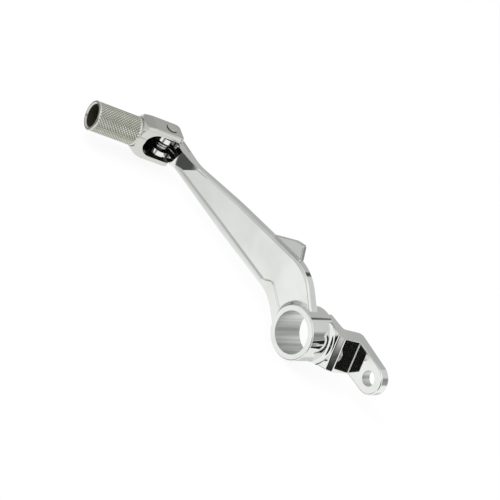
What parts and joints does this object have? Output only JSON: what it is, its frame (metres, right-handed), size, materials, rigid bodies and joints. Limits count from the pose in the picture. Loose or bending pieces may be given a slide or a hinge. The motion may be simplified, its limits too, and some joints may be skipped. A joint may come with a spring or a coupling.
{
  "type": "motorcycle rear brake lever",
  "caption": "Chromed foot lever: a pivot boss carries a long flat arm with a sprung folding knurled toe peg, and a short joggled arm with a pushrod eye.",
  "frame": {"origin": "middle of the pivot bore, halfway along its wall", "axes": "+Y along the pivot bore to the outboard face, +X along the long arm to the toe peg, +Z to the side that carries the stop tab"},
  "size_m": [0.2047, 0.0822, 0.0452],
  "materials": {
    "lever": "polished chrome plate over a smooth forging, bore left satin",
    "toe_peg": "satin chrome with a fine diamond knurl, dark bare inside",
    "hinge_pin": "satin steel rivet with polished heads",
    "torsion_spring": "bright drawn spring wire"
  },
  "bodies": {
    "lever": {"lever": "lever", "torsion_spring": "torsion_spring"},
    "toe_peg": {"toe_peg": "toe_peg", "hinge_pin": "hinge_pin"}
  },
  "joints": [
    {"name": "toe_peg_fold", "type": "hinge", "parent": "lever", "child": "toe_peg", "pos_m": [0.1404, 0.0114, 0], "axis": [0, 0, 1], "range_deg": [0, 80], "stiffness_Nm_per_rad": 0.3, "springref_deg": -34.38, "deforming": ["torsion_spring"]}
  ]
}
